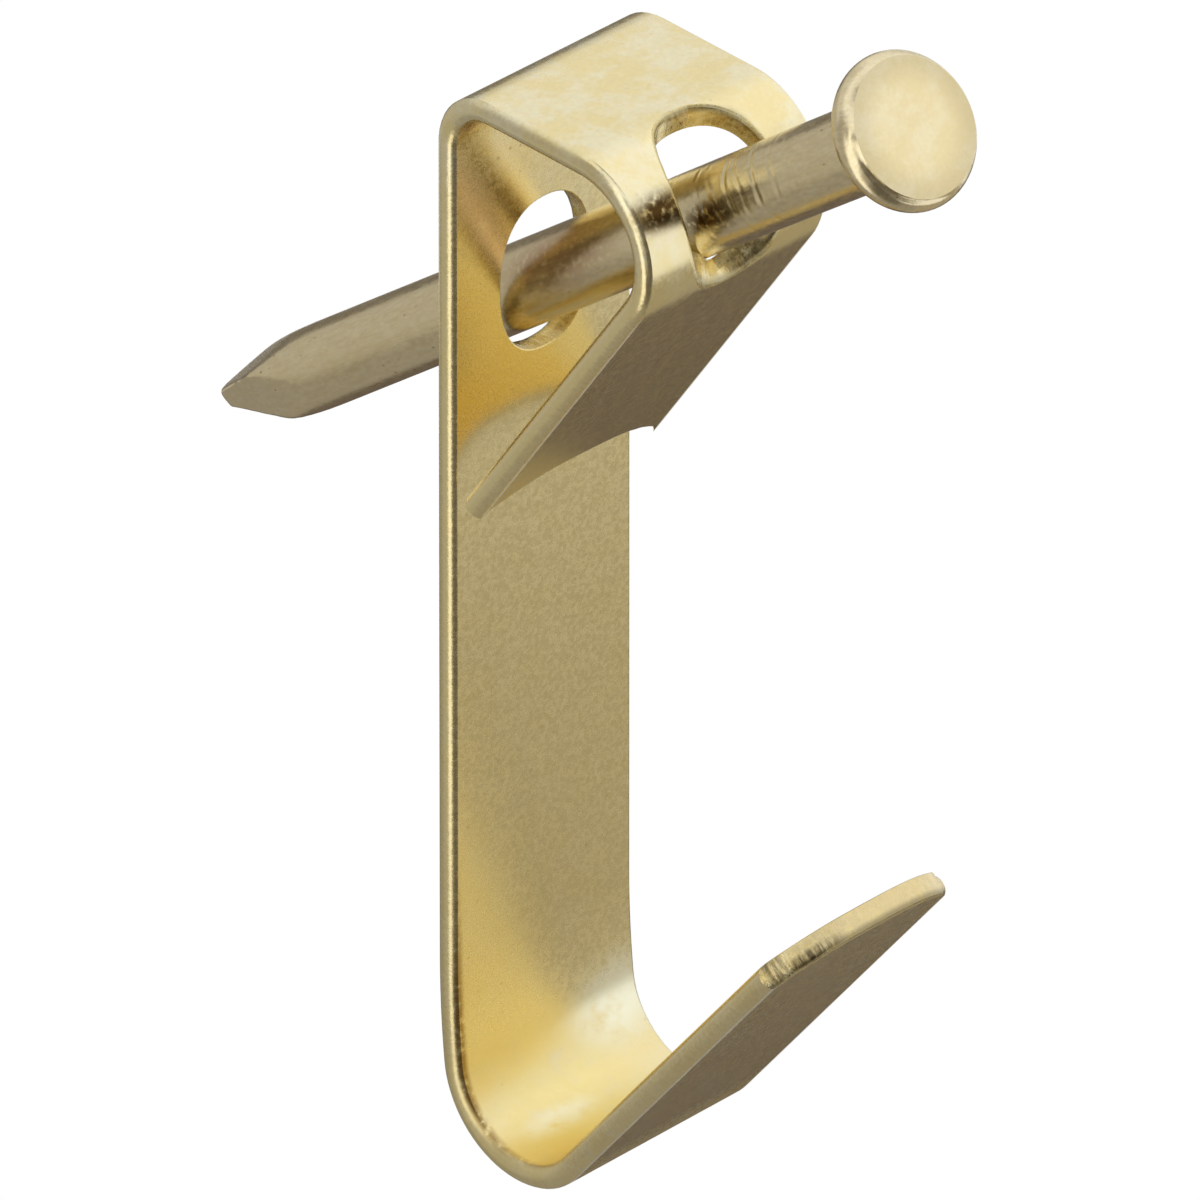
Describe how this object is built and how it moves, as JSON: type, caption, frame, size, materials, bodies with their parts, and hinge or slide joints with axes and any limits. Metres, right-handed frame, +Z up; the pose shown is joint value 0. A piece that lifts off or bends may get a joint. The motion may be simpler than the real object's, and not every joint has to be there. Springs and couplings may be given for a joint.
{
  "type": "picture hook",
  "caption": "Folded brass-finished strip picture hook with an upturned lip, a loop at the top and a slanted nail through the loop's two oval holes.",
  "frame": {"origin": "point where the nail's axis leaves the strip through its wall face, in the middle of the strip's width", "axes": "+Y into the wall, -Y out towards the hung picture, +Z up along the strip, +X across the strip"},
  "size_m": [0.01, 0.0407, 0.0564],
  "materials": {
    "strip_brass": "satin brass plating with mottled tarnish",
    "nail_brass": "satin brass plating with drawn streaks and small pits"
  },
  "bodies": {
    "root": {"hook_strip": "strip_brass", "nail": "nail_brass"}
  },
  "joints": []
}
